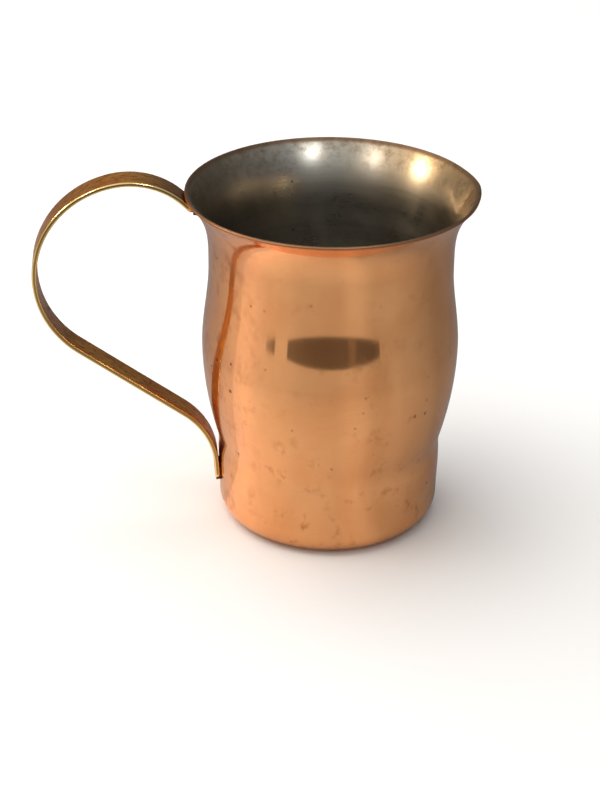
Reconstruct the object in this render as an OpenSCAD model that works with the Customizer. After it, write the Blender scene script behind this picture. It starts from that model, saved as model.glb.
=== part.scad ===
// Hand milk-frothing jug: a lined copper body with a flared rim, a small
// pressed pouring lip and a brass strap handle brazed on at both ends.
// The origin is the centre of the base underside. +Z is up, the lip points
// along +X and the handle along -X. All sizes are millimetres.

/* [Body] */
// Overall height from the base to the top of the rim
body_h = 112; // [95:1:150]
// Outer radius of the foot, below the waist
foot_r = 36; // [28:0.5:48]
// Radius of the rounded edge between the base and the foot
foot_edge_r = 6.5; // [3:0.5:10]
// Outer radius at the waist crease
waist_r = 36; // [28:0.5:48]
// Height of the waist crease
waist_z = 27; // [18:0.5:36]
// Outer radius at the widest part of the belly
belly_r = 41; // [34:0.5:54]
// Height of the widest part of the belly
belly_z = 60; // [45:0.5:68]
// Outer radius at the neck
neck_r = 38.5; // [32:0.5:50]
// How far the neck lies below the top of the rim
neck_drop = 25; // [18:0.5:32]
// Largest outer radius of the flared rim, away from the lip
rim_r = 45.5; // [40:0.5:60]

/* [Walls] */
// Thickness of the copper body
copper_t = 0.6; // [0.4:0.05:1.2]
// Thickness of the steel lining
lining_t = 0.4; // [0.3:0.05:0.8]
// Width of the full-thickness copper band above the end of the lining
rim_band = 0.6; // [0.4:0.1:2]

/* [Pouring lip] */
// How far the lip is pressed out beyond the rim
lip_out = 0.6; // [0.3:0.1:3]
// Half of the angle that the lip takes at the rim
lip_half_angle = 16; // [10:1:45]
// Depth of the pressed V below the top of the rim
lip_depth = 9.5; // [6:0.5:14]

/* [Handle] */
// Width of the brass strip
strap_w = 10; // [7:0.5:14]
// Thickness of the brass strip
strap_t = 1.5; // [1:0.1:2.5]
// Radius of the rounded corners at both ends of the strip
strap_corner_r = 3; // [1:0.5:3.5]
// Height of the lower end of the strip
strap_foot_z = 12; // [8:0.2:16]
// Length of the straight piece that stands on the foot
strap_foot_len = 6.5; // [4:0.5:12]
// Radius of the bend above the foot
strap_foot_bend_r = 25; // [18:1:32]
// Angle of the foot piece above the horizontal
strap_foot_angle = 87; // [84:1:90]
// Angle of the slanting run above the horizontal
strap_run_angle = 36.5; // [30:0.5:44]
// Direction of the strip where the grip bend passes into the crown bend
strap_crown_angle = 170; // [155:1:175]
// Crown bend radius as a part of the grip bend radius
strap_crown_ratio = 0.78; // [0.7:0.01:0.95]
// How far the upper end of the strip lies below the top of the rim
strap_tuck_drop = 4.8; // [3.6:0.2:9]
// Length of the straight end that lies under the flare
strap_tuck_len = 1; // [0.5:0.5:4]
// Smallest gap between the strip and the body, filled by the brazing metal
braze_gap = 0.1; // [0.05:0.05:0.5]
// Length of each brazed seam along the strip
braze_len = 4.5; // [3:0.5:6]
// Width of each brazed seam across the strip
braze_w = 8; // [5:0.5:9]
// How far each brazed seam runs out past the end of the strip
braze_run_out = 1; // [0.2:0.1:1.5]

/* [Hidden] */
$fn = 96;

copper_colour = [0.80, 0.45, 0.30];
steel_colour = [0.62, 0.60, 0.57];
brass_colour = [0.72, 0.56, 0.25];
braze_colour = [0.66, 0.42, 0.24];

wall_t = copper_t + lining_t;
neck_z = body_h - neck_drop;

// Slopes of the outline: change of radius for each millimetre of height
foot_top_slope = -0.11;
waist_slope = 0.29;
rim_slope = 0.95;

// The rim ends in a half-round edge across the wall. Its centre is
// (edge_r, edge_z), and the outline of the flare meets it at (flare_r, flare_z).
rim_angle = atan(1 / rim_slope);
edge_r = rim_r - wall_t / 2;
edge_z = body_h - wall_t / 2;
flare_r = edge_r + wall_t / 2 * sin(rim_angle);
flare_z = edge_z - wall_t / 2 * cos(rim_angle);

// Outline above the rounded foot edge, as spans of
// [low z, radius, slope, high z, radius, slope]
SPANS = [
    [foot_edge_r, foot_r, 0, waist_z, waist_r, foot_top_slope],
    [waist_z, waist_r, waist_slope, belly_z, belly_r, 0],
    [belly_z, belly_r, 0, neck_z, neck_r, 0],
    [neck_z, neck_r, 0, flare_z, flare_r, rim_slope],
];
FOOT = 0;
BELLY_LOW = 1;
BELLY_HIGH = 2;
FLARE = 3;
span_steps = 8;
edge_steps = 6;

// Cubic through the two ends of a span, t from 0 to 1
function span_z(s, t) = s[0] + (s[3] - s[0]) * t;
function span_r(s, t) =
    (2 * pow(t, 3) - 3 * pow(t, 2) + 1) * s[1]
    + (pow(t, 3) - 2 * pow(t, 2) + t) * (s[3] - s[0]) * s[2]
    + (3 * pow(t, 2) - 2 * pow(t, 3)) * s[4]
    + (pow(t, 3) - pow(t, 2)) * (s[3] - s[0]) * s[5];
function span_slope(s, t) =
    6 * (pow(t, 2) - t) * (s[1] - s[4]) / (s[3] - s[0])
    + (3 * pow(t, 2) - 4 * t + 1) * s[2]
    + (3 * pow(t, 2) - 2 * t) * s[5];

// Point of the wall, inset from the outer face at a right angle to it
function wall_point(s, t, inset) =
    let (lean = atan2(1, span_slope(s, t)))
    [span_r(s, t) - inset * sin(lean), span_z(s, t) + inset * cos(lean)];
function span_points(s, inset, t_end = 1) =
    [for (i = [0:span_steps]) wall_point(s, t_end * i / span_steps, inset)];
function edge_points(inset) =
    [for (i = [0:edge_steps])
        let (a = -90 + 90 * i / edge_steps)
        [foot_r - foot_edge_r + (foot_edge_r - inset) * cos(a),
         foot_edge_r + (foot_edge_r - inset) * sin(a)]];

// Outline from the base to the neck, starting on the axis
function pot_points(inset) = concat(
    [[0, inset]],
    edge_points(inset),
    span_points(SPANS[FOOT], inset),
    span_points(SPANS[BELLY_LOW], inset),
    span_points(SPANS[BELLY_HIGH], inset));

function reversed(list) = [for (i = [len(list) - 1:-1:0]) list[i]];

// Turned wall between two insets, closed at the base, from the base to the neck
module turned_pot(outer_inset, inner_inset) {
    rotate_extrude()
        polygon(concat(pot_points(outer_inset), reversed(pot_points(inner_inset))));
}

// ---- Flared collar with the pressed lip ----

// The collar is swept round in fine steps at the lip and coarse ones elsewhere
lip_steps = 12;
round_steps = 60;
ANGLES = concat(
    [for (i = [-lip_steps:lip_steps - 1]) lip_half_angle * i / lip_steps],
    [for (i = [0:round_steps - 1])
        lip_half_angle + (360 - 2 * lip_half_angle) * i / round_steps]);

// The valley of the lip runs straight from its root up to the rim, where the
// flare is hollow. Its flanks open upwards in a V.
lip_root_z = body_h - lip_depth;
lip_root_r = flare_at(lip_root_z);
function flare_at(z) = span_r(SPANS[FLARE], min(1, (z - neck_z) / (flare_z - neck_z)));
function lip_rise(z) = min(1, max(0, (z - lip_root_z) / (flare_z - lip_root_z)));
function valley_at(z) = lip_root_r + (flare_r + lip_out - lip_root_r) * lip_rise(z);
function from_lip(angle) = angle > 180 ? 360 - angle : abs(angle);
function lip_press(z, angle) =
    z <= lip_root_z ? 0
    : (valley_at(z) - flare_at(z))
        * max(0, 1 - from_lip(angle) / lip_half_angle / sqrt(lip_rise(z)));

// A quad is split along the same diagonal on both sides of a shared face,
// so that the lining and the copper meet without slivers.
module swept_collar(section) {
    points = [for (p = section) for (a = ANGLES)
        let (r = p[0] + lip_press(p[1], a))
        [r * cos(a), r * sin(a), p[1]]];
    n = len(ANGLES);
    k = len(section);
    faces = [for (i = [0:k - 1]) for (j = [0:n - 1])
        let (after = (i + 1) % k, up = after * n, here = i * n, next = (j + 1) % n)
        each section[after][1] > section[i][1]
            ? [[here + j, up + next, here + next], [here + j, up + j, up + next]]
            : [[here + j, up + j, here + next], [here + next, up + j, up + next]]];
    polyhedron(points, faces, convexity = 6);
}

// Where the collar stands on the turned part its walls are a hair thinner,
// so that its flat-sided rings stay inside the round seam
seam_trim = 0.04;
function seated(points, trim) =
    [for (i = [0:len(points) - 1]) i == 0 ? points[0] + [trim, 0] : points[i]];

// The lining stops rim_band below the half-round edge
band_t = 1 - rim_band / (flare_z - neck_z) * sin(rim_angle);
function half_round(steps) =
    [for (i = [0:steps])
        let (a = rim_angle - 90 + 180 * i / steps)
        [edge_r + wall_t / 2 * cos(a), edge_z + wall_t / 2 * sin(a)]];
rim_round_steps = 4;

function copper_collar_section() = concat(
    seated(span_points(SPANS[FLARE], 0), -seam_trim / 2),
    half_round(rim_round_steps),
    [wall_point(SPANS[FLARE], band_t, wall_t)],
    reversed(seated(span_points(SPANS[FLARE], copper_t, band_t), seam_trim)));
function lining_collar_section() = concat(
    seated(span_points(SPANS[FLARE], copper_t, band_t), -seam_trim / 2),
    reversed(seated(span_points(SPANS[FLARE], wall_t, band_t), seam_trim)));

module copper_body() {
    color(copper_colour) union() {
        turned_pot(0, copper_t);
        swept_collar(copper_collar_section());
    }
}

module steel_lining() {
    color(steel_colour) union() {
        turned_pot(copper_t, wall_t);
        swept_collar(lining_collar_section());
    }
}

// ---- Strap handle ----

// The strip is drawn in a plane: first coordinate outwards from the axis,
// second upwards. It starts on the foot wall and ends under the flare.

// How far the strip has moved outwards from its lower end at height z
strap_bend_z = strap_foot_z + strap_foot_len * sin(strap_foot_angle);
function strap_lean(z) =
    (min(z, strap_bend_z) - strap_foot_z) / tan(strap_foot_angle)
    + strap_foot_bend_r - sqrt(pow(strap_foot_bend_r, 2)
        - pow(min(max(z - strap_bend_z, 0), strap_foot_bend_r), 2));
// The strip stands clear of the body all the way past the waist
stand_samples = concat(
    span_points(SPANS[FOOT], 0),
    span_points(SPANS[BELLY_LOW], 0));
strap_stand = max([for (p = stand_samples) if (p[1] > strap_foot_z) p[0] - strap_lean(p[1])]);
strap_start = [strap_stand + braze_gap + strap_t / 2, strap_foot_z];
tuck_t = (body_h - strap_tuck_drop - neck_z) / (flare_z - neck_z);
tuck_lean = atan2(1, span_slope(SPANS[FLARE], tuck_t));
// Flatter than the flare by this angle, so that the strip parts from it upwards
tuck_parting = 5;
tuck_angle = 180 + tuck_lean - tuck_parting;
strap_end = wall_point(SPANS[FLARE], tuck_t, -braze_gap - strap_t / 2);

function heading(a) = [cos(a), sin(a)];
// Way from the start to the end of a bend: a left-hand turn, or a right-hand
// one where the radius is negative
function bend_step(r, from, to) = r * [sin(to) - sin(from), cos(from) - cos(to)];

// The slanting run and the grip bend take the length and the radius that
// close the path between the two ends
run_dir = heading(strap_run_angle);
grip_dir = bend_step(1, strap_run_angle, strap_crown_angle)
    + bend_step(strap_crown_ratio, strap_crown_angle, tuck_angle);
way_left = strap_end - strap_start
    - strap_foot_len * heading(strap_foot_angle)
    - bend_step(-strap_foot_bend_r, strap_foot_angle, strap_run_angle)
    - strap_tuck_len * heading(tuck_angle);
path_det = run_dir[0] * grip_dir[1] - run_dir[1] * grip_dir[0];
run_len = (way_left[0] * grip_dir[1] - way_left[1] * grip_dir[0]) / path_det;
grip_r = (run_dir[0] * way_left[1] - run_dir[1] * way_left[0]) / path_det;
crown_r = grip_r * strap_crown_ratio;

foot_top = strap_start + strap_foot_len * heading(strap_foot_angle);
run_start = foot_top + bend_step(-strap_foot_bend_r, strap_foot_angle, strap_run_angle);
run_end = run_start + run_len * run_dir;
crown_start = run_end + bend_step(grip_r, strap_run_angle, strap_crown_angle);
crown_end = crown_start + bend_step(crown_r, strap_crown_angle, tuck_angle);

// One face of the strip, side = 1 towards the body and -1 away from it
function bend_points(start, r, from, to, side, steps) =
    [for (i = [0:steps])
        let (a = from + (to - from) * i / steps)
        start + bend_step(r, from, a) + side * strap_t / 2 * heading(a + 90)];
foot_bend_steps = 12;
grip_steps = 30;
crown_steps = 20;
function strap_face(side) = concat(
    [strap_start + side * strap_t / 2 * heading(strap_foot_angle + 90)],
    bend_points(foot_top, -strap_foot_bend_r, strap_foot_angle, strap_run_angle, side,
        foot_bend_steps),
    bend_points(run_end, grip_r, strap_run_angle, strap_crown_angle, side, grip_steps),
    bend_points(crown_start, crown_r, strap_crown_angle, tuck_angle, side, crown_steps),
    [strap_end + side * strap_t / 2 * heading(tuck_angle + 90)]);

// Stands a drawing of the handle plane upright, across the strip's width,
// with its first coordinate along -X
module in_handle_plane(width) {
    rotate([90, 0, 180])
        linear_extrude(width, center = true) children();
}

// Cuts one corner of the strip's end round. The end lies at the origin and
// the strip runs along +Y, with its width along Z. The round meets the faces
// at a slight angle, so that the cut has a clean edge.
corner_bite = 0.02;
module corner_cut() {
    reach = strap_t * 2;
    difference() {
        translate([-reach, -1, strap_w / 2 - strap_corner_r])
            cube([2 * reach, strap_corner_r + 1, strap_corner_r + 1]);
        translate([0, strap_corner_r, strap_w / 2 - strap_corner_r])
            rotate([0, 90, 0])
                cylinder(r = strap_corner_r + corner_bite, h = 3 * reach, center = true);
    }
}

// Cuts both corners where the strip, seen from its end, runs off at an angle
module end_cuts(at, angle) {
    rotate([90, 0, 180]) translate([at[0], at[1], 0]) rotate([0, 0, angle - 90]) {
        corner_cut();
        mirror([0, 0, 1]) corner_cut();
    }
}

module strap_handle() {
    color(brass_colour) difference() {
        in_handle_plane(strap_w)
            polygon(concat(strap_face(1), reversed(strap_face(-1))));
        end_cuts(strap_start, strap_foot_angle);
        end_cuts(strap_end, tuck_angle + 180);
    }
}

// ---- Brazed seams ----

// The filling is drawn a little into the body, then cut back to its outer face
seam_sink = 0.8;

module turned_space() {
    rotate_extrude($fn = 720) polygon(concat(pot_points(0), [[0, neck_z]]));
}

module flare_space() {
    core_r = neck_r / 2;
    swept_collar(concat(
        span_points(SPANS[FLARE], 0),
        [[core_r, flare_z], [core_r, neck_z]]));
}

// Filling between the strip's face and the body, from the strip's end along
// the strip. It reaches depth_low into the body at the end of the strip and
// depth_high at its other end. The body is the child, and is cut away.
module braze_between(at, angle, depth_low, depth_high) {
    along = heading(angle);
    across = heading(angle + 90);
    low = at - braze_run_out * along + strap_t / 2 * across;
    high = low + braze_len * along;
    difference() {
        in_handle_plane(braze_w)
            polygon([low, high, high + depth_high * across, low + depth_low * across]);
        children();
    }
}

module upper_braze() {
    depth = braze_gap + seam_sink;
    color(braze_colour)
        braze_between(strap_end, tuck_angle + 180, depth, depth + braze_len * tan(tuck_parting))
            flare_space();
}

module lower_braze() {
    narrowest = min(foot_r, span_r(SPANS[FOOT], 1));
    depth = strap_start[0] - strap_t / 2 - narrowest + seam_sink;
    color(braze_colour)
        braze_between(strap_start, strap_foot_angle, depth, depth)
            turned_space();
}

copper_body();
steel_lining();
strap_handle();
upper_braze();
lower_braze();
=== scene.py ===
# %% [markdown]
# # A hand milk-frothing jug
# A small jug for frothing milk by hand: a polished copper body spun from sheet,
# a satin steel lining inside it, and a strap of brass brazed on as a handle.
# Nothing on it moves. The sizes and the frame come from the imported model: the
# origin is the middle of the base, +Z is up, the lip points along +X and the
# handle along -X. Everything below is in metres.

# %% Load the frame
import math

import bpy
import numpy as np
from mathutils import Matrix, Vector


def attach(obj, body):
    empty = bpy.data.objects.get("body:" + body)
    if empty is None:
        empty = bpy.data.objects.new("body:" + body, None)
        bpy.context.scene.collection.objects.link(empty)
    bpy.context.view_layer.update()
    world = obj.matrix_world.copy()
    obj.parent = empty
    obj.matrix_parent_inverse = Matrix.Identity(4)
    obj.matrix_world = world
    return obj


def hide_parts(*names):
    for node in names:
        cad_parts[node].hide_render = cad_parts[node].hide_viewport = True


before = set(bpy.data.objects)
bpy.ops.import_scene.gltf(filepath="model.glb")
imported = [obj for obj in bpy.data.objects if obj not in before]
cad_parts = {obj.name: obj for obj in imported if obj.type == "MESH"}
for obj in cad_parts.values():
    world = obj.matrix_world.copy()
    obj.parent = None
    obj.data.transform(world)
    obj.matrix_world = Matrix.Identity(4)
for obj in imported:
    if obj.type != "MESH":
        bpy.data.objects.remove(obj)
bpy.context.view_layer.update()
MM = 0.001
scene = bpy.context.scene

# %% [markdown]
# ## Working by operators
# The frame arrives with every CAD node selected, and an operator acts on all
# that is selected. Two small helpers keep the work on one object at a time:
# one clears the selection, the other opens one object in edit mode.


# %% Helpers for selecting
def clear_selection():
    if bpy.context.mode != "OBJECT":
        bpy.ops.object.mode_set(mode="OBJECT")
    bpy.ops.object.select_all(action="DESELECT")


def take(piece):
    """Makes one object the only selected and the active one."""
    clear_selection()
    piece.select_set(True)
    bpy.context.view_layer.objects.active = piece


def open_mesh(piece, part="VERT", chosen="DESELECT"):
    take(piece)
    bpy.ops.object.mode_set(mode="EDIT")
    bpy.ops.mesh.select_mode(type=part)
    bpy.ops.mesh.select_all(action=chosen)


def close_mesh():
    bpy.ops.object.mode_set(mode="OBJECT")


def vertex_places(mesh):
    places = np.empty(len(mesh.vertices) * 3)
    mesh.vertices.foreach_get("co", places)
    return places.reshape(-1, 3)


def move_vertices(mesh, places):
    mesh.vertices.foreach_set("co", places.ravel())
    mesh.update()


def count_open_edges(piece):
    """Edges that don't have exactly two faces: none on a closed shell."""
    open_mesh(piece, "EDGE")
    bpy.ops.mesh.select_non_manifold()
    close_mesh()
    return sum(e.select for e in piece.data.edges)


def report_piece(piece):
    low = vertex_places(piece.data).min(axis=0) / MM
    high = vertex_places(piece.data).max(axis=0) / MM
    triangles = sum(len(p.vertices) - 2 for p in piece.data.polygons)
    print(piece.name, "from", low.round(2), "to", high.round(2), "mm,",
          triangles, "triangles,", count_open_edges(piece), "open edges")


# %% [markdown]
# ## The outline of the jug
# A spinner presses a flat disc of copper over a turned former, so the jug is
# one outline swept round the axis. Four smooth spans meet in it: the nearly
# straight foot, the belly rising from the waist, the belly falling to the
# neck, and the flare of the mouth. A cubic through both ends of a span, with
# the slope given at each end, is enough for all four.

# %% Spans of the outline
BODY_H = 112 * MM
FOOT_R, FOOT_EDGE_R = 36 * MM, 6.5 * MM
WAIST_R, WAIST_Z = 36 * MM, 27 * MM
BELLY_R, BELLY_Z = 41 * MM, 60 * MM
NECK_R, NECK_Z = 38.5 * MM, 87 * MM
RIM_R = 45.5 * MM
COPPER_T, LINING_T = 0.6 * MM, 0.4 * MM
WALL_T = COPPER_T + LINING_T
FOOT_TOP_SLOPE, WAIST_SLOPE, RIM_SLOPE = -0.11, 0.29, 0.95
RIM_ANGLE = math.atan(1 / RIM_SLOPE)

# The rim ends in a half-round edge across the wall
EDGE_R, EDGE_Z = RIM_R - WALL_T / 2, BODY_H - WALL_T / 2
FLARE_R = EDGE_R + WALL_T / 2 * math.sin(RIM_ANGLE)
FLARE_Z = EDGE_Z - WALL_T / 2 * math.cos(RIM_ANGLE)

# low z, radius, slope; high z, radius, slope
FOOT = (FOOT_EDGE_R, FOOT_R, 0, WAIST_Z, WAIST_R, FOOT_TOP_SLOPE)
BELLY_LOW = (WAIST_Z, WAIST_R, WAIST_SLOPE, BELLY_Z, BELLY_R, 0)
BELLY_HIGH = (BELLY_Z, BELLY_R, 0, NECK_Z, NECK_R, 0)
FLARE = (NECK_Z, NECK_R, 0, FLARE_Z, FLARE_R, RIM_SLOPE)


def wall_points(span, inset, steps, t_end=1.0):
    """Points of a span, moved into the wall by inset at a right angle to it."""
    z0, r0, s0, z1, r1, s1 = span
    h = z1 - z0
    t = np.linspace(0, t_end, steps + 1)
    r = ((2 * t**3 - 3 * t**2 + 1) * r0 + (t**3 - 2 * t**2 + t) * h * s0
         + (3 * t**2 - 2 * t**3) * r1 + (t**3 - t**2) * h * s1)
    slope = (6 * (t**2 - t) * (r0 - r1) / h + (3 * t**2 - 4 * t + 1) * s0
             + (3 * t**2 - 2 * t) * s1)
    lean = np.arctan2(1, slope)
    return np.stack([r - inset * np.sin(lean), z0 + h * t + inset * np.cos(lean)], 1)


def arc_points(centre, radius, start, end, steps):
    a = np.radians(np.linspace(start, end, steps + 1))
    return np.stack([centre[0] + radius * np.cos(a), centre[1] + radius * np.sin(a)], 1)


# %% [markdown]
# The crease at the waist is soft on the real jug, because the copper is rolled
# over a rounded tool. A chain of points is softened in the same way: the corner
# gives way to a short quadratic curve between two points beside it.


# %% Round a corner of the outline
WAIST_SOFT, WAIST_STEPS = 3.2 * MM, 10
FOOT_ARC_STEPS, BASE_STEPS = 12, 14
FOOT_STEPS, BELLY_LOW_STEPS, BELLY_HIGH_STEPS = 16, 28, 24


def soften_corner(points, corner_z, reach, steps):
    below = points[points[:, 1] < corner_z - reach]
    above = points[points[:, 1] > corner_z + reach]
    corner = points[np.abs(points[:, 1] - corner_z).argmin()]
    t = np.linspace(0, 1, steps + 1)[:, None]
    start = corner + (below[-1] - corner) * reach / np.hypot(*(below[-1] - corner))
    end = corner + (above[0] - corner) * reach / np.hypot(*(above[0] - corner))
    curve = (1 - t)**2 * start + 2 * t * (1 - t) * corner + t**2 * end
    return np.concatenate([below, curve, above])


def pot_points(inset):
    """Outline from the middle of the base up to the neck."""
    base_edge = arc_points((FOOT_R - FOOT_EDGE_R, FOOT_EDGE_R), FOOT_EDGE_R - inset,
                           -90, 0, FOOT_ARC_STEPS)
    base_reach = np.linspace(0, base_edge[0, 0], BASE_STEPS)[:-1]
    base = np.stack([base_reach, np.full(len(base_reach), inset)], 1)
    sides = np.concatenate([
        wall_points(FOOT, inset, FOOT_STEPS)[1:],
        wall_points(BELLY_LOW, inset, BELLY_LOW_STEPS)[1:],
        wall_points(BELLY_HIGH, inset, BELLY_HIGH_STEPS)[1:]])
    outline = np.concatenate([base, base_edge, sides])
    return soften_corner(outline, WAIST_Z, WAIST_SOFT, WAIST_STEPS)


# %% [markdown]
# ## The two sheets at the rim
# The steel comes right up to the rim and the copper is turned in over its edge,
# so from above only steel shows, with a thin line of copper outside it. The
# half-round edge is one arc, shared out between the two sheets.

# %% Outlines of the two sheets
FLARE_STEPS, ROUND_PARTS, COPPER_PARTS = 34, 12, 6
SHEET_GAP = 0.01 * MM
rim_lean = math.degrees(RIM_ANGLE)
rim_round = arc_points((EDGE_R, EDGE_Z), WALL_T / 2, rim_lean - 90, rim_lean + 90, ROUND_PARTS)
copper_edge, lining_edge = rim_round[:COPPER_PARTS + 1], rim_round[COPPER_PARTS:]


def sheet_face(inset):
    return np.concatenate([pot_points(inset), wall_points(FLARE, inset, FLARE_STEPS)[1:-1]])


copper_outside = sheet_face(0)
copper_outline = np.concatenate([copper_outside, copper_edge, sheet_face(COPPER_T)[::-1]])
lining_outline = np.concatenate([sheet_face(COPPER_T + SHEET_GAP), lining_edge,
                                 sheet_face(WALL_T)[::-1]])
print("outline points:", len(copper_outline), "copper,", len(lining_outline), "lining")

# %% [markdown]
# ## Spinning the shells
# In Blender the lathe is the Spin tool. The section of the sheet is a closed
# loop of points, so it starts as a circle with as many points, which are then
# set on the outline, and one spin takes the loop all the way round the axis.
# The first and last copies of the loop, and the points on the axis, lie on top
# of each other afterwards. They are merged, and then the normals are made to
# point out of the metal.

# %% Spin a section round the axis
ROUND_STEPS = 256
MERGE = 0.001 * MM
SHELL_SMOOTH = math.radians(50)


def spin_shell(name, outline):
    clear_selection()
    bpy.ops.mesh.primitive_circle_add(vertices=len(outline), radius=RIM_R)
    shell = bpy.context.object
    shell.name = shell.data.name = name
    section = np.zeros((len(outline), 3))
    section[:, 0], section[:, 2] = outline[:, 0], outline[:, 1]
    move_vertices(shell.data, section)
    open_mesh(shell, "EDGE", "SELECT")
    bpy.ops.mesh.spin(steps=ROUND_STEPS, angle=math.tau, center=(0, 0, 0), axis=(0, 0, 1))
    bpy.ops.mesh.select_all(action="SELECT")
    bpy.ops.mesh.remove_doubles(threshold=MERGE)
    bpy.ops.mesh.dissolve_degenerate(threshold=MERGE / 10)
    bpy.ops.mesh.delete_loose(use_verts=True, use_edges=True, use_faces=False)
    bpy.ops.mesh.select_all(action="SELECT")
    bpy.ops.mesh.normals_make_consistent(inside=False)
    close_mesh()
    bpy.ops.object.shade_smooth_by_angle(angle=SHELL_SMOOTH)
    return shell


copper = spin_shell("copper_shell", copper_outline)
lining = spin_shell("steel_lining_shell", lining_outline)
print("rings of", ROUND_STEPS, "points:", len(copper.data.vertices), "and",
      len(lining.data.vertices), "vertices")

# %% [markdown]
# ## Pressing the lip
# The pouring lip is a shallow V pressed out of the flare with a bar, after the
# jug is spun. Moving a point by hand with proportional editing would give a
# round bump, and the real lip has a crisp valley with a flank on each side, so
# the outward push is worked out for every vertex. Its valley runs straight from
# the root to the rim while the flare is hollow, so the push is deepest half way
# up. Both sheets take the same push and stay together.

# %% Push the lip out
LIP_OUT, LIP_DEPTH, LIP_HALF = 0.6 * MM, 9.5 * MM, math.radians(16)
LIP_ROOT_Z = BODY_H - LIP_DEPTH
VALLEY_SOFT, FLANK_SOFT = math.radians(0.8), 0.03
LEAST_RISE = 1e-6

flare_line = wall_points(FLARE, 0, 60)
root_r = np.interp(LIP_ROOT_Z, flare_line[:, 1], flare_line[:, 0])


def press_lip(shell):
    """Pushes the lip out and returns the deepest push."""
    p = vertex_places(shell.data)
    radius = np.hypot(p[:, 0], p[:, 1])
    angle = np.arctan2(p[:, 1], p[:, 0])
    rise = np.clip((p[:, 2] - LIP_ROOT_Z) / (FLARE_Z - LIP_ROOT_Z), 0, 1)
    valley = root_r + (FLARE_R + LIP_OUT - root_r) * rise
    hollow = valley - np.interp(p[:, 2], flare_line[:, 1], flare_line[:, 0])
    aside = (np.hypot(angle, VALLEY_SOFT) - VALLEY_SOFT) / LIP_HALF
    share = 1 - aside / np.sqrt(np.maximum(rise, LEAST_RISE))
    share = (share + np.hypot(share, FLANK_SOFT)) / 2
    push = np.where((rise > 0) & (aside < 2), hollow * share, 0)
    push = np.where(share < FLANK_SOFT / 4, 0, push)
    grown = np.where(radius > 0, 1 + push / np.maximum(radius, MM), 1)
    p[:, 0] *= grown
    p[:, 1] *= grown
    move_vertices(shell.data, p)
    return push.max()


for shell in (copper, lining):
    print(shell.name, "pressed out by", round(press_lip(shell) / MM, 2), "mm")
    report_piece(shell)

# %% [markdown]
# ## The path of the handle
# The strap is a flat brass strip bent round formers of three sizes: up from
# the foot, out and back along a straight run, round the wide grip bend, and
# over a tighter crown to the flare. The path is worked out in the plane of the
# handle, as straights and arcs that run smoothly into each other. The run and
# the grip radius follow from the two ends, which have to meet the body.

# %% Straights and bends
STRAP_W, STRAP_T, STRAP_CORNER_R = 10 * MM, 1.5 * MM, 3 * MM
STRAP_FOOT_Z, STRAP_FOOT_LEN, FOOT_BEND_R = 12 * MM, 6.5 * MM, 25 * MM
FOOT_DIR, RUN_DIR, CROWN_DIR = 87, 36.5, 170
CROWN_RATIO = 0.78
TUCK_DROP, TUCK_LEN, TUCK_PARTING = 4.8 * MM, 1 * MM, 5
BRAZE_GAP = 0.1 * MM


def heading(degrees):
    return np.array([math.cos(math.radians(degrees)), math.sin(math.radians(degrees))])


def bend_step(radius, start, end):
    """Way from the start to the end of a bend. A negative radius turns right."""
    a, b = math.radians(start), math.radians(end)
    return radius * np.array([math.sin(b) - math.sin(a), math.cos(a) - math.cos(b)])


def strap_lean(z):
    """How far the strap has moved outwards from its foot at height z."""
    bend_z = STRAP_FOOT_Z + STRAP_FOOT_LEN * math.sin(math.radians(FOOT_DIR))
    up = np.clip(z - bend_z, 0, FOOT_BEND_R)
    tilt = (np.minimum(z, bend_z) - STRAP_FOOT_Z) / math.tan(math.radians(FOOT_DIR))
    return tilt + FOOT_BEND_R - np.sqrt(FOOT_BEND_R**2 - up**2)


low_wall = np.concatenate([wall_points(FOOT, 0, 8), wall_points(BELLY_LOW, 0, 8)])
low_wall = low_wall[low_wall[:, 1] > STRAP_FOOT_Z]
strap_stand = (low_wall[:, 0] - strap_lean(low_wall[:, 1])).max()
strap_start = np.array([strap_stand + BRAZE_GAP + STRAP_T / 2, STRAP_FOOT_Z])
tuck_t = (BODY_H - TUCK_DROP - NECK_Z) / (FLARE_Z - NECK_Z)
strap_end = wall_points(FLARE, -BRAZE_GAP - STRAP_T / 2, 1, tuck_t)[-1]
on_wall = wall_points(FLARE, 0, 1, tuck_t)[-1]
off_wall = strap_end - on_wall
tuck_lean = math.degrees(math.atan2(off_wall[0], -off_wall[1]))
TUCK_DIR = 180 + tuck_lean - TUCK_PARTING

unit_grip = (bend_step(1, RUN_DIR, CROWN_DIR)
             + bend_step(CROWN_RATIO, CROWN_DIR, TUCK_DIR))
way_left = (strap_end - strap_start - STRAP_FOOT_LEN * heading(FOOT_DIR)
            - bend_step(-FOOT_BEND_R, FOOT_DIR, RUN_DIR) - TUCK_LEN * heading(TUCK_DIR))
run_len, grip_r = np.linalg.solve(np.stack([heading(RUN_DIR), unit_grip], 1), way_left)
crown_r = CROWN_RATIO * grip_r
print("run", round(run_len / MM, 2), "grip radius", round(grip_r / MM, 2), "mm")

# Each leg: length, direction at its start, direction at its end
LEGS = [
    (STRAP_FOOT_LEN, FOOT_DIR, FOOT_DIR),
    (FOOT_BEND_R * math.radians(FOOT_DIR - RUN_DIR), FOOT_DIR, RUN_DIR),
    (run_len, RUN_DIR, RUN_DIR),
    (grip_r * math.radians(CROWN_DIR - RUN_DIR), RUN_DIR, CROWN_DIR),
    (crown_r * math.radians(TUCK_DIR - CROWN_DIR), CROWN_DIR, TUCK_DIR),
    (TUCK_LEN, TUCK_DIR, TUCK_DIR),
]
strap_len = sum(leg[0] for leg in LEGS)


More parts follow.
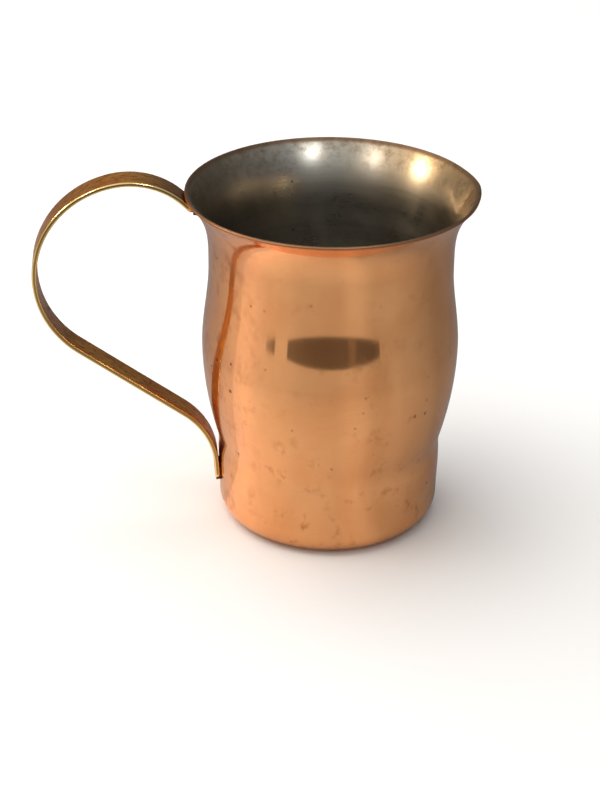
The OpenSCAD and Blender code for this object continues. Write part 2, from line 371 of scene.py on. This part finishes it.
def on_path(s):
    """Place and direction of the strap's middle line at length s from its foot. Past
    the upper end it goes straight on; before the foot it stays at the foot."""
    at = strap_start.copy()
    for length, start, end in LEGS:
        part = min(max(s, 0), length) if (length, start, end) != LEGS[-1] else s
        turned = start + (end - start) * part / length
        if start == end:
            step = part * heading(start)
        else:
            step = bend_step(length / math.radians(end - start), start, turned)
        at = at + step
        s -= length
        if s <= 0:
            return at, turned
    return at, TUCK_DIR


print("strap length", round(strap_len / MM, 1), "mm, ends at",
      (on_path(strap_len)[0] / MM).round(2))

# %% [markdown]
# ## The strap
# A smith cuts the strip flat, rounds its corners, files its edges, and only
# then bends it. The same order keeps the modelling simple: a long flat block,
# its four end corners bevelled to a 3 mm radius, the rims of its two wide faces
# bevelled to a worn edge, and cross cuts along its length. The cuts are what
# let it bend. The flat strip also gives the UV map, so that marks run along it.

# %% Cut the flat strip
EDGE_WEAR = 0.6 * MM
STRAP_SMOOTH = math.radians(32)
CUT_PITCH = 1.0 * MM
LONG_CUTS = (-3 * MM, -1.5 * MM, 0, 1.5 * MM, 3 * MM)

clear_selection()
bpy.ops.mesh.primitive_cube_add(size=1, location=(strap_len / 2, 0, 0),
                                scale=(strap_len, STRAP_W, STRAP_T))
bpy.ops.object.transform_apply(location=True, rotation=True, scale=True)
strap = bpy.context.object
strap.name = strap.data.name = "brass_strap"

# A visit in edge mode first, so that the edges marked below stay marked
open_mesh(strap, "EDGE")
close_mesh()
for edge in strap.data.edges:
    a, b = (strap.data.vertices[i].co for i in edge.vertices)
    edge.select = abs(a.z - b.z) > STRAP_T / 2
bpy.ops.object.mode_set(mode="EDIT")
bpy.ops.mesh.bevel(offset=STRAP_CORNER_R, segments=8, affect="EDGES")
close_mesh()

# The same in face mode, for the two wide faces whose rims are worn
open_mesh(strap, "FACE")
close_mesh()
for face in strap.data.polygons:
    face.select = abs(face.normal.z) > 0.9
wide_faces = sum(face.select for face in strap.data.polygons)
bpy.ops.object.mode_set(mode="EDIT")
bpy.ops.mesh.region_to_loop()
bpy.ops.mesh.bevel(offset=EDGE_WEAR, segments=6, affect="EDGES")

for i in range(1, int(strap_len / CUT_PITCH)):
    bpy.ops.mesh.select_all(action="SELECT")
    bpy.ops.mesh.bisect(plane_co=(i * CUT_PITCH, 0, 0), plane_no=(1, 0, 0))
for across in LONG_CUTS:
    bpy.ops.mesh.select_all(action="SELECT")
    bpy.ops.mesh.bisect(plane_co=(0, across, 0), plane_no=(0, 1, 0))
bpy.ops.mesh.select_all(action="SELECT")
bpy.ops.mesh.normals_make_consistent(inside=False)
close_mesh()
print("flat strip:", len(strap.data.polygons), "faces, cut from", wide_faces, "wide ones")

# %% [markdown]
# While the strip is flat its map is simply its length and width. The block's own
# map has to go first, or it would stay the active one. Then every point moves to
# its place on the path: the length follows the path, and the thickness stands
# across it.

# %% Map the flat strip, then bend it along the path
while strap.data.uv_layers:
    strap.data.uv_layers.remove(strap.data.uv_layers[0])
uv = strap.data.uv_layers.new(name="strip")
flat = vertex_places(strap.data)
corner_of = np.empty(len(strap.data.loops), dtype=int)
strap.data.loops.foreach_get("vertex_index", corner_of)
uv.data.foreach_set("uv", (flat[corner_of][:, :2] / STRAP_W).ravel())


def bend_strap(places):
    bent = np.empty_like(places)
    for i, (s, across, up) in enumerate(places):
        at, turned = on_path(s)
        at = at + up * heading(turned + 90)
        bent[i] = -at[0], across, at[1]
    return bent


move_vertices(strap.data, bend_strap(flat))
open_mesh(strap, "FACE", "SELECT")
bpy.ops.mesh.normals_make_consistent(inside=False)
close_mesh()
bpy.ops.object.shade_smooth_by_angle(angle=STRAP_SMOOTH)
report_piece(strap)

# %% [markdown]
# ## The brazed seams
# Brazing metal runs into the gap between strap and body and freezes with a
# hollow edge. Each seam is a thin pad under the strap. It starts as a block,
# is cut into a grid, and its rim is then drawn out where it wets the body and
# drawn in at mid height. Past the strap's end it climbs the end in a fillet. A
# little unevenness keeps it from looking machined. The pad bites a little into
# the copper, so no light shows under it.

# %% Seam pads
BRAZE_LEN, BRAZE_W = 4.5 * MM, 8 * MM
LOWER_OUT, UPPER_OUT = 0.6 * MM, 1.6 * MM
FILLET, FILLET_END, FILLET_CURVE = 1.2 * MM, 1.2, 1.5
WAIST_IN, WETTING = 0.16, 0.05
UNEVEN, BITE = 0.05 * MM, 0.1 * MM
FEELER_STEP, FEELER_REACH = 0.02 * MM, 3 * MM
PAD_CUTS, PAD_SMOOTH = 9, math.radians(60)


def body_radius(z):
    """Outer radius of the copper at a height above the flat of the base."""
    side = copper_outside[copper_outside[:, 1] > 0.1 * MM]
    return np.interp(z, side[:, 1], side[:, 0])


def reach_to_body(face, down):
    """How far it is from the strap's face to just inside the copper."""
    reach = 0
    while face[0] + reach * down[0] > body_radius(face[1] + reach * down[1]) - BITE:
        reach += FEELER_STEP
        if reach > FEELER_REACH:
            break
    return reach


def braze_pad(name, s_from, s_to, side, run_out, seed):
    """Pad between the strap and the body, for a stretch of the path. The body lies on the
    left of the path at side = 1 and on its right at side = -1. run_out is how far the
    braze shows past the end of the strap."""
    clear_selection()
    bpy.ops.mesh.primitive_cube_add(size=1)
    pad = bpy.context.object
    pad.name = pad.data.name = name
    open_mesh(pad, "FACE", "SELECT")
    bpy.ops.mesh.subdivide(number_cuts=PAD_CUTS)
    close_mesh()
    rng = np.random.default_rng(seed)
    p = vertex_places(pad.data)
    wobble = rng.normal(0, UNEVEN, (len(p), 2))
    for i, (along, across, out) in enumerate(p):
        s = s_from + (along + 0.5) * (s_to - s_from)
        at, turned = on_path(s)
        down = heading(turned + 90 * side)
        face = at + STRAP_T / 2 * down
        depth = 0.5 - out
        past = max(-s, s - strap_len) / run_out
        fillet = FILLET * max(0, FILLET_END - past)**FILLET_CURVE * (past > 0) * (1 - depth)
        place = face + (depth * reach_to_body(face, down) - fillet) * down
        waist = 1 - WAIST_IN * math.sin(math.pi * min(max(depth, 0), 1))
        y = across * BRAZE_W * waist * (1 + WETTING * depth)
        on_rim = max(abs(across), abs(along)) > 0.49
        radial = place[0]
        if depth > 0.5 and radial > abs(y):
            radial = math.sqrt(radial**2 - y**2)
        shift = wobble[i] if on_rim else (0, 0)
        p[i] = -radial, y + shift[0], place[1] + shift[1]
    move_vertices(pad.data, p)
    open_mesh(pad, "FACE", "SELECT")
    bpy.ops.mesh.normals_make_consistent(inside=False)
    close_mesh()
    bpy.ops.object.shade_smooth_by_angle(angle=PAD_SMOOTH)
    report_piece(pad)
    return pad


lower_pad = braze_pad("lower_braze_pad", -LOWER_OUT, BRAZE_LEN, 1, LOWER_OUT, 4)
upper_pad = braze_pad("upper_braze_pad", strap_len - BRAZE_LEN, strap_len + UPPER_OUT, -1,
                      UPPER_OUT, 9)

# %% [markdown]
# ## Tools for the finishes
# Every finish is a Principled shader fed by noise on Object coordinates. The
# helpers add a node, set its values by name and join it up, so that each
# finish below reads as a short list of what the metal has been through.


# %% Node helpers
class Bench:
    """A node tree under construction, with its coordinates."""

    def __init__(self, tree):
        self.tree = tree
        self.place = tree.nodes.new("ShaderNodeTexCoord")

    def add(self, kind, inputs=None, **settings):
        node = self.tree.nodes.new("ShaderNode" + kind)
        for key, value in settings.items():
            setattr(node, key, value)
        for key, value in (inputs or {}).items():
            self.join(value, node.inputs[key])
        return node

    def join(self, value, socket):
        if isinstance(value, bpy.types.NodeSocket):
            self.tree.links.new(value, socket)
        else:
            socket.default_value = value

    def parts(self, source="Object"):
        """X, Y and Z of a coordinate, as sockets."""
        return self.add("SeparateXYZ", {"Vector": self.place.outputs[source]}).outputs

    def stretched(self, scale, source="Object"):
        node = self.add("Mapping", {"Vector": self.place.outputs[source], "Scale": scale})
        return node.outputs["Vector"]

    def noise(self, scale, stretch=(1, 1, 1), detail=3.0, rough=0.55, distort=0.0,
              source="Object"):
        node = self.add("TexNoise", {
            "Vector": self.stretched(stretch, source), "Scale": scale, "Detail": detail,
            "Roughness": rough, "Distortion": distort})
        return node.outputs["Fac"]

    def span(self, value, low, high, to_low=0.0, to_high=1.0):
        """Maps low..high to to_low..to_high, and holds beyond them."""
        node = self.add("MapRange", {
            "Value": value, "From Min": low, "From Max": high,
            "To Min": to_low, "To Max": to_high})
        return node.outputs["Result"]

    def math(self, operation, a, b=0):
        node = self.add("Math", operation=operation)
        self.join(a, node.inputs[0])
        self.join(b, node.inputs[1])
        return node.outputs[0]

    def times(self, a, b):
        return self.math("MULTIPLY", a, b)

    def plus(self, a, b):
        return self.math("ADD", a, b)

    def cells(self, scale):
        """Sparse cells: the distance from the middle of each, and its own random tone."""
        node = self.add("TexVoronoi", {"Vector": self.place.outputs["Object"], "Scale": scale})
        return node.outputs["Distance"], node.outputs["Color"]

    def round_the_axis(self):
        """The way that a lathe's lines run."""
        return self.add("Tangent", direction_type="RADIAL", axis="Z").outputs["Tangent"]

    def blend(self, amount, under, over):
        node = self.add("Mix", data_type="RGBA")
        self.join(amount, node.inputs[0])
        self.join(under, node.inputs[6])
        self.join(over, node.inputs[7])
        return node.outputs[2]

    def bump(self, height, strength, distance, under=None):
        node = self.add("Bump", {"Height": height, "Strength": strength,
                                 "Distance": distance})
        if under is not None:
            self.join(under, node.inputs["Normal"])
        return node.outputs["Normal"]


class Finish(Bench):
    """A material whose Principled shader has the given fixed values."""

    def __init__(self, name, **fixed):
        self.material = bpy.data.materials.new(name)
        self.material.use_nodes = True
        super().__init__(self.material.node_tree)
        self.shader = self.tree.nodes["Principled BSDF"]
        self.feed(**fixed)

    def feed(self, **sockets):
        for name, value in sockets.items():
            self.join(value, self.shader.inputs[name.replace("_", " ")])


def colour(r, g, b):
    return (r, g, b, 1.0)


# %% [markdown]
# ## Polished copper
# The outside is polished on the lathe with fine paste, so it mirrors the room
# but carries hair-fine lines round the axis, which pull reflections out into
# upright bands. Use has left dull smears, small dark pits and brownish mottles,
# most of them low on the body and on the handle side. The lines are a noise
# squeezed flat along Z, and the pits are the middles of sparse cells.

# %% Copper: the tint
RIM_LINE = (BODY_H - 1.3 * MM, BODY_H - 0.7 * MM)
copper_finish = Finish("polished_copper", Metallic=1.0, Anisotropic=0.3,
                       Anisotropic_Rotation=0.25)
f = copper_finish
where = f.parts()
lines = f.noise(1.0, (30, 30, 12000), detail=2.0, rough=0.6)
bands = f.noise(1.0, (8, 8, 1100), detail=3.0, rough=0.6)
smears = f.noise(38.0, (1, 1, 0.7), detail=5.0, rough=0.6, distort=0.8)
mottle = f.noise(190.0, (1, 1, 0.8), detail=7.0, rough=0.70, distort=0.2)
low_down = f.span(where["Z"], 0.015, 0.060, 1.0, 0.30)
handle_side = f.span(where["X"], -0.036, -0.020, 1.0, 0.0)

clean = colour(0.97, 0.475, 0.205)
deep = colour(0.89, 0.40, 0.160)
brown = colour(0.46, 0.17, 0.06)
dull_pink = colour(0.84, 0.43, 0.25)
tint = f.blend(f.span(smears, 0.42, 0.66), clean, deep)
tint = f.blend(f.span(bands, 0.40, 0.75, 0.0, 0.10), tint, dull_pink)
dull = f.times(f.span(smears, 0.40, 0.60, 0.25, 0.75), handle_side)
tint = f.blend(dull, tint, dull_pink)
spots = f.math("MAXIMUM", f.times(f.span(mottle, 0.56, 0.67, 0.0, 0.6), low_down),
               f.times(f.span(mottle, 0.51, 0.62, 0.0, 0.5), handle_side))
tint = f.blend(spots, tint, brown)

from_pit, pit_tone = f.cells(300.0)
pit_size = f.span(pit_tone, 0.55, 0.90, 0.0, 0.19)
pits = f.span(f.math("SUBTRACT", from_pit, pit_size), -0.02, 0.02, 1.0, 0.0)
pits = f.times(pits, f.math("MAXIMUM", f.span(where["Z"], 0.020, 0.070, 1.0, 0.3),
                            handle_side))
tint = f.blend(pits, tint, colour(0.16, 0.065, 0.03))
rim_line = f.span(where["Z"], *RIM_LINE)
tint = f.blend(rim_line, tint, colour(0.42, 0.19, 0.09))

# %% [markdown]
# The same marks that change the tint make the polish duller. Over the mirror
# lies the haze of the lines, a second shader that is soft upwards and sharper
# sideways, with a share of about a fifth.

# %% Copper: the polish
gloss = f.span(smears, 0.35, 0.75, 0.045, 0.085)
for mark, dulling in ((spots, 0.25), (dull, 0.10), (pits, 0.3), (rim_line, 0.45)):
    gloss = f.plus(gloss, f.times(mark, dulling))
relief = f.bump(f.noise(60.0, detail=2.0), 0.10, 0.1 * MM)
relief = f.bump(lines, 0.01, 0.02 * MM, relief)
around = f.round_the_axis()
f.feed(Base_Color=tint, Roughness=gloss, Normal=relief, Tangent=around)

haze = f.add("BsdfPrincipled", {"Base Color": tint, "Metallic": 1.0, "Roughness": 0.45,
                                "Anisotropic": 0.85, "Anisotropic Rotation": 0.25,
                                "Normal": relief, "Tangent": around})
share = f.add("MixShader", {0: f.span(lines, 0.3, 0.7, 0.15, 0.22),
                            1: f.shader.outputs["BSDF"], 2: haze.outputs["BSDF"]})
f.join(share.outputs["Shader"], f.tree.nodes["Material Output"].inputs["Surface"])
print(f.material.name, "has", len(f.tree.nodes), "nodes")

# %% [markdown]
# ## Satin steel
# The lining is brushed round the axis while it turns, so its lines run level
# and its highlights stretch upright. Milk and heat have tinted the flare
# straw-coloured towards the lip, a tint that also carries painted warmth for the
# warm lamp's glint there, and brown towards the handle, and left a patchy film
# below the rim and faint dark specks.

# %% Steel finish
steel_finish = Finish("satin_steel", Metallic=1.0, Anisotropic=0.65,
                      Anisotropic_Rotation=0.25)
f = steel_finish
where = f.parts()
lines = f.noise(1.0, (60, 60, 4200), detail=3.0, rough=0.65)
bands = f.noise(1.0, (10, 10, 600), detail=3.0, rough=0.6)
cloud = f.noise(60.0, detail=5.0, rough=0.6, distort=1.0)
rim_line = f.span(where["Z"], BODY_H - 1.4 * MM, BODY_H - 0.6 * MM)

steel = colour(0.44, 0.42, 0.37)
straw = colour(0.62, 0.42, 0.22)
tint = f.blend(f.span(cloud, 0.35, 0.7, 0.0, 0.5), steel, colour(0.36, 0.34, 0.30))
tint = f.blend(f.span(bands, 0.35, 0.7, 0.0, 0.3), tint, colour(0.28, 0.27, 0.25))
# The straw towards the lip is partly a heat tint and partly painted warmth for the side lamp's
# glint.
to_lip = f.span(where["X"], 0.005, 0.045)
to_rim = f.span(where["Z"], 0.090, 0.110, 0.35, 1.0)
straw_tint_and_glint_warmth = f.times(f.times(to_lip, to_rim), f.span(cloud, 0.25, 0.7, 0.55, 1.0))
tint = f.blend(straw_tint_and_glint_warmth, tint, straw)
old_brown = f.times(f.span(where["Z"], 0.088, 0.108),
                    f.span(where["X"], -0.035, -0.005, 0.75, 0.0))
tint = f.blend(old_brown, tint, colour(0.30, 0.22, 0.13))
tint = f.blend(f.times(rim_line, 0.9), tint, colour(0.26, 0.16, 0.10))

from_speck, speck_tone = f.cells(240.0)
speck_size = f.span(speck_tone, 0.7, 1.0, 0.0, 0.16)
specks = f.span(f.math("SUBTRACT", from_speck, speck_size), -0.01, 0.04, 0.75, 0.0)
tint = f.blend(specks, tint, colour(0.10, 0.08, 0.06))
film = f.times(f.span(f.noise(260.0, detail=6.0, rough=0.7), 0.46, 0.66),
               f.span(where["Z"], 0.1005, 0.1100, 0.0, 0.8))
tint = f.blend(film, tint, colour(0.20, 0.13, 0.07))

gloss = f.plus(f.span(cloud, 0.3, 0.75, 0.24, 0.34), f.span(lines, 0.3, 0.7, 0.0, 0.06))
gloss = f.plus(gloss, f.times(rim_line, 0.3))
relief = f.bump(lines, 0.16, 0.05 * MM)
relief = f.bump(bands, 0.12, 0.1 * MM, relief)
f.feed(Base_Color=tint, Roughness=gloss, Normal=relief, Tangent=f.round_the_axis())
print(f.material.name, "has", len(f.tree.nodes), "nodes")

# %% [markdown]
# ## Aged brass
# The flat faces of the strap have browned unevenly, while the bevels of its edges
# are rubbed bright by hands and cloth. The faces of the edges look along Y all the
# way round the handle, so the Y part of the normal tells bright from browned. The
# flat middle of each edge carries painted shade, a dark olive for the dark floor
# that it mirrors. Close to the rim the faces carry painted shade from the flare,
# and where a hand holds the grip bend they are darker still. The mottling follows
# the strip's own map, so it doesn't smear round the bends.

# %% Brass finish
brass_finish = Finish("aged_brass", Metallic=1.0)
f = brass_finish
where = f.parts()
sideways = f.math("ABSOLUTE", f.parts("Normal")["Y"])
edge = f.span(sideways, 0.25, 0.60)
patch = f.noise(1.1, (0.5, 1, 1), detail=9.0, rough=0.72, distort=0.4, source="UV")
grain = f.noise(18.0, (0.10, 1.4, 1), detail=4.0, rough=0.65, source="UV")
freckle = f.noise(7.0, (0.6, 1, 1), detail=7.0, rough=0.75, source="UV")

gold = colour(0.95, 0.70, 0.32)
worn_gold = colour(0.98, 0.60, 0.18)
rubbed = colour(1.0, 0.44, 0.055)
brown = colour(0.70, 0.22, 0.018)
dark = colour(0.20, 0.07, 0.010)
tint = f.blend(f.span(patch, 0.42, 0.60), brown, rubbed)
tint = f.blend(f.span(freckle, 0.49, 0.60, 0.0, 0.85), tint, dark)
tint = f.blend(f.span(grain, 0.56, 0.70, 0.0, 0.5), tint, worn_gold)
# Painted shade: the crown darkens close to the rim, where the flare shades it.
rim_painted_shade = f.times(f.span(where["X"], -0.064, -0.048, 0.0, 0.7),
                     f.span(where["Z"], 0.080, 0.095))
tint = f.blend(rim_painted_shade, tint, dark)
hand_stain = f.times(f.span(where["X"], -0.090, -0.078, 0.6, 0.0),
                     f.span(where["Z"], 0.070, 0.095, 1.0, 0.0))
tint = f.blend(hand_stain, tint, dark)

# Painted shade: the flat middle of each edge face turns dark olive, for the dark floor
# mirrored there; the bevels keep the rubbed gold.
flat_edge_painted_shade = f.span(sideways, 0.90, 0.99)
edge_wear_and_painted_shade = f.blend(flat_edge_painted_shade, gold, colour(0.36, 0.26, 0.085))
tint = f.blend(edge, tint, edge_wear_and_painted_shade)
gloss = f.span(patch, 0.35, 0.65, 0.34, 0.20)
gloss = f.plus(gloss, f.span(freckle, 0.49, 0.60, 0.0, 0.12))
gloss = f.blend(edge, gloss, colour(0.14, 0.14, 0.14))
relief = f.bump(grain, 0.3, 0.05 * MM)
relief = f.bump(freckle, 0.35, 0.08 * MM, relief)
f.feed(Base_Color=tint, Roughness=gloss, Normal=relief)
print(f.material.name, "has", len(f.tree.nodes), "nodes")

# %% [markdown]
# ## Brazing metal
# The seams are never polished: they stay a dull, slightly scaly copper brown.

# %% Braze finish
braze_finish = Finish("brazing_metal", Metallic=1.0)
f = braze_finish
scale_noise = f.noise(900.0, detail=5.0, rough=0.65, distort=0.5)
f.feed(Base_Color=f.blend(f.span(scale_noise, 0.35, 0.68), colour(0.40, 0.16, 0.06),
                          colour(0.16, 0.08, 0.045)),
       Roughness=f.span(scale_noise, 0.3, 0.7, 0.35, 0.6),
       Normal=f.bump(scale_noise, 0.5, 0.1 * MM))
print(f.material.name, "has", len(f.tree.nodes), "nodes")

# %% [markdown]
# ## Pieces on the frame
# Every piece stands for one CAD node and rides on the one body. It already lies
# where the node does, so nothing is moved here.

# %% Give every piece its finish and its node
for piece, finish, node, slot in (
        (copper, copper_finish, "copper_body", "copper"),
        (lining, steel_finish, "steel_lining", "lining"),
        (strap, brass_finish, "strap_handle", "strap"),
        (upper_pad, braze_finish, "upper_braze", "braze"),
        (lower_pad, braze_finish, "lower_braze", "braze")):
    piece.data.materials.clear()
    piece.data.materials.append(finish.material)
    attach(piece, "root")
    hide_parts(node)
    print(piece.name, "stands for", node)

# %% [markdown]
# ## The studio
# A pale floor, a white surround and a few soft lamps. Polished metal shows
# nothing but its surroundings, so the surround is what models the form. The
# metal doesn't see the floor itself, but the board that comes next, which is
# painted with light and shade and seen only in reflections.


# %% Floor
TABLE_SIZE = 8


def table_sheet(name, height, finish):
    clear_selection()
    bpy.ops.mesh.primitive_plane_add(size=TABLE_SIZE)
    sheet = bpy.context.object
    sheet.name = name
    p = vertex_places(sheet.data)
    p[:, 2] = height
    move_vertices(sheet.data, p)
    sheet.data.materials.append(finish.material)
    return sheet


floor_finish = Finish("pale_floor", Base_Color=colour(0.90, 0.90, 0.90), Roughness=0.9,
                      Specular_IOR_Level=0.1)
floor = table_sheet("studio_floor", 0, floor_finish)
floor.visible_glossy = False

# %% [markdown]
# What the polish sees of the table is a second sheet, a board with the jug in
# its middle, painted with light and shade and seen only in reflections. Painted
# light makes it light and warm on the handle side and painted shade leaves it cool
# on the lip side, with a paler painted ray between, so the belly shows upright
# bands. Its tone is a ramp over the bearing from the jug, and painted shade darkens
# it a little with the distance.

# %% Board of painted light and shade
painted_light_board_finish = Finish("painted_light_board", Roughness=0.9, Specular_IOR_Level=0.1)
f = painted_light_board_finish


def bearing_from_jug(finish):
    where = finish.parts()
    return finish.math("ARCTAN2", where["Y"], where["X"])


# Bearing in degrees, then the painted light and shade of the board there
PAINTED_LIGHT_TONES = (
    (-180, (0.90, 0.82, 0.78)), (-166, (1.00, 0.90, 0.85)), (-157, (0.86, 0.81, 0.78)),
    (-140, (0.74, 0.72, 0.70)), (-122, (0.63, 0.62, 0.61)), (-92, (0.62, 0.61, 0.60)),
    (-80, (0.73, 0.72, 0.71)), (-72, (0.73, 0.72, 0.71)), (-60, (0.60, 0.60, 0.59)),
    (-40, (0.60, 0.60, 0.61)), (-20, (0.48, 0.49, 0.50)), (5, (0.32, 0.32, 0.33)),
    (45, (0.27, 0.27, 0.29)), (100, (0.28, 0.29, 0.33)), (150, (0.50, 0.47, 0.45)),
    (170, (0.70, 0.64, 0.60)))
# The ramp is painted light and shade, seen only in reflections.
ramp = f.add("ValToRGB", {"Fac": f.span(bearing_from_jug(f), -math.pi, math.pi)})
tones = ramp.color_ramp.elements
tones[1].position = (PAINTED_LIGHT_TONES[-1][0] + 180) / 360
tones[0].color, tones[1].color = colour(*PAINTED_LIGHT_TONES[0][1]), colour(*PAINTED_LIGHT_TONES[-1][1])
for degrees, tone in PAINTED_LIGHT_TONES[1:-1]:
    tones.new((degrees + 180) / 360).color = colour(*tone)
away = f.add("VectorMath", {0: f.place.outputs["Object"]}, operation="LENGTH")
# Painted shade: the board darkens with the distance from the jug.
painted_distance_shade = f.span(away.outputs["Value"], 0.05, 0.17, 0.0, 0.30)
f.feed(Base_Color=f.blend(painted_distance_shade, ramp.outputs["Color"], colour(0, 0, 0)))
board = table_sheet("painted_light_board", 0.05 * MM, painted_light_board_finish)
print(f.material.name, "has", len(tones), "tones")

# %% [markdown]
# Beyond the board's front edge lies a dark sheet seen only in reflections:
# painted shade for the dark gap where the camera stands, which leaves a dark
# almond on the belly, and a narrow one beside it leaves a dark stroke. The sheet
# starts as a ring round the board. Its inner edge bulges away from the jug towards
# both ends of the front sector, which makes the almond narrower towards its ends.
# The ring is then deleted outside the two sectors.

# %% Painted shade beyond the board
BOARD_R, BOARD_BULGE, GAP_HEIGHT = 0.340, 0.020, 1 * MM
GAP_MIDDLE, GAP_HALF = -93.5, 38.5
SIDE_GAP = (-151, -143)
PAINTED_STREAK_BEARING = -78
RING_POINTS, RING_GROWTH = 360, 4

clear_selection()
bpy.ops.mesh.primitive_circle_add(vertices=RING_POINTS, radius=BOARD_R,
                                  location=(0, 0, GAP_HEIGHT))
gap = bpy.context.object
gap.name = "painted_shade_sheet"
bpy.ops.object.transform_apply(location=True, rotation=False, scale=False)
open_mesh(gap, "EDGE", "SELECT")
bpy.ops.mesh.extrude_region_move()
bpy.ops.transform.resize(value=(RING_GROWTH, RING_GROWTH, 1))
close_mesh()
p = vertex_places(gap.data)
aside = (np.degrees(np.arctan2(p[:, 1], p[:, 0])) - GAP_MIDDLE) / GAP_HALF
bulge = np.where(np.abs(aside) < 1.05, aside**2, 0.5) * BOARD_BULGE
inner_edge = np.hypot(p[:, 0], p[:, 1]) < 2 * BOARD_R
grown = np.where(inner_edge, 1 + bulge / BOARD_R, 1)
move_vertices(gap.data, p * np.stack([grown, grown, np.ones(len(p))], 1))
for face in gap.data.polygons:
    at = math.degrees(math.atan2(face.center.y, face.center.x))
    face.select = not (abs(at - GAP_MIDDLE) < GAP_HALF or SIDE_GAP[0] < at < SIDE_GAP[1])
bpy.ops.object.mode_set(mode="EDIT")
bpy.ops.mesh.select_mode(type="FACE")
bpy.ops.mesh.delete(type="FACE")
close_mesh()
print("dark gap:", len(gap.data.polygons), "of", RING_POINTS, "parts of the ring")

# The painted shade in the gap, with a paler seam that is a painted light streak
painted_shade_cloth_finish = Finish("painted_shade_cloth", Roughness=0.9, Specular_IOR_Level=0.1)
f = painted_shade_cloth_finish
off_painted_streak = f.math("ABSOLUTE", f.plus(bearing_from_jug(f), -math.radians(PAINTED_STREAK_BEARING)))
f.feed(Base_Color=f.blend(f.span(off_painted_streak, 0.015, 0.08), colour(0.09, 0.075, 0.06),
                          colour(0.018, 0.013, 0.01)))
gap.data.materials.append(painted_shade_cloth_finish.material)
# Both sheets are seen only in reflections: painted light and shade for the metal.
for unseen in (board, gap):
    unseen.visible_camera = unseen.visible_diffuse = unseen.visible_shadow = False

# %% [markdown]
# The surround is a tent of white cloth, brighter overhead than at the table,
# brighter and warmer on the handle side than on the lip side, and dimmer at the
# back. A straight fade over the direction does each of these.

# %% Tent
world = bpy.data.worlds.new("tent")
scene.world = world
world.use_nodes = True
tent = Bench(world.node_tree)
sky = tent.parts("Generated")
warm_side = tent.add("VectorMath", {0: tent.place.outputs["Generated"],
                                    1: (-0.966, 0.259, 0.0)}, operation="DOT_PRODUCT")
warm = warm_side.outputs["Value"]
cloth = tent.blend(tent.span(warm, -0.5, 0.9), colour(0.92, 0.96, 1.0),
                   colour(1.0, 0.88, 0.70))
shine = tent.times(tent.span(sky["Z"], 0.15, 0.85, 0.42, 1.1),
                   tent.span(warm, -1.0, 1.0, 0.3, 1.5))
shine = tent.times(shine, tent.span(sky["Y"], -0.1, 0.6, 1.0, 0.5))
backdrop = world.node_tree.nodes["Background"]
tent.join(cloth, backdrop.inputs["Color"])
tent.join(shine, backdrop.inputs["Strength"])

# %% [markdown]
# ## Lamps
# One wide softbox overhead lights the table and is kept out of reflections. The
# three small lamps are the opposite: only the metal sees them. They make the
# warm glint on the flare, the two cooler ones beside it, and the upright bands.


# %% Softbox and lamps
AIM_Z = 0.06


def lamp(name, azimuth, elevation, size, watts, tone=(1, 1, 1), distance=1.0):
    """A square soft lamp on a sphere round the jug, aimed at its middle."""
    data = bpy.data.lights.new(name, "AREA")
    data.shape, data.size = "SQUARE", size
    data.energy, data.color = watts, tone
    obj = bpy.data.objects.new(name, data)
    scene.collection.objects.link(obj)
    a, e = math.radians(azimuth), math.radians(elevation)
    way = Vector((math.cos(a) * math.cos(e), math.sin(a) * math.cos(e), math.sin(e)))
    obj.location = way * distance + Vector((0, 0, AIM_Z))
    obj.rotation_euler = way.to_track_quat("Z", "Y").to_euler()
    obj.visible_camera = False
    return obj


softbox = lamp("softbox", 150, 65, 1.6, 20, distance=1.4)
softbox.visible_glossy = False
for glint in (lamp("side_lamp", 174, 30, 0.20, 3.6, (1.0, 0.86, 0.66)),
              lamp("front_lamp", -75, 50, 0.15, 1.5),
              lamp("corner_lamp", -139, 43, 0.15, 1.3)):
    glint.visible_diffuse = False

# %% [markdown]
# ## The camera
# A long lens half a metre in front of the jug and well above the rim, a little
# to the handle side. It looks down at nearly thirty degrees.

# %% Camera
LENS = 81.16
CAMERA_PLACE = (-0.06075, -0.51329, 0.31908)
TURN_ASIDE, TILT_UP, ROLL = math.radians(-5.70), math.radians(61.473), math.radians(0.413)

camera_data = bpy.data.cameras.new("camera")
camera_data.lens = LENS
camera = bpy.data.objects.new("camera", camera_data)
scene.collection.objects.link(camera)
turn = (Matrix.Rotation(TURN_ASIDE, 4, "Z") @ Matrix.Rotation(TILT_UP, 4, "X")
        @ Matrix.Rotation(ROLL, 4, "Z"))
camera.matrix_world = Matrix.Translation(CAMERA_PLACE) @ turn
scene.camera = camera
scene.view_settings.view_transform = "Standard"
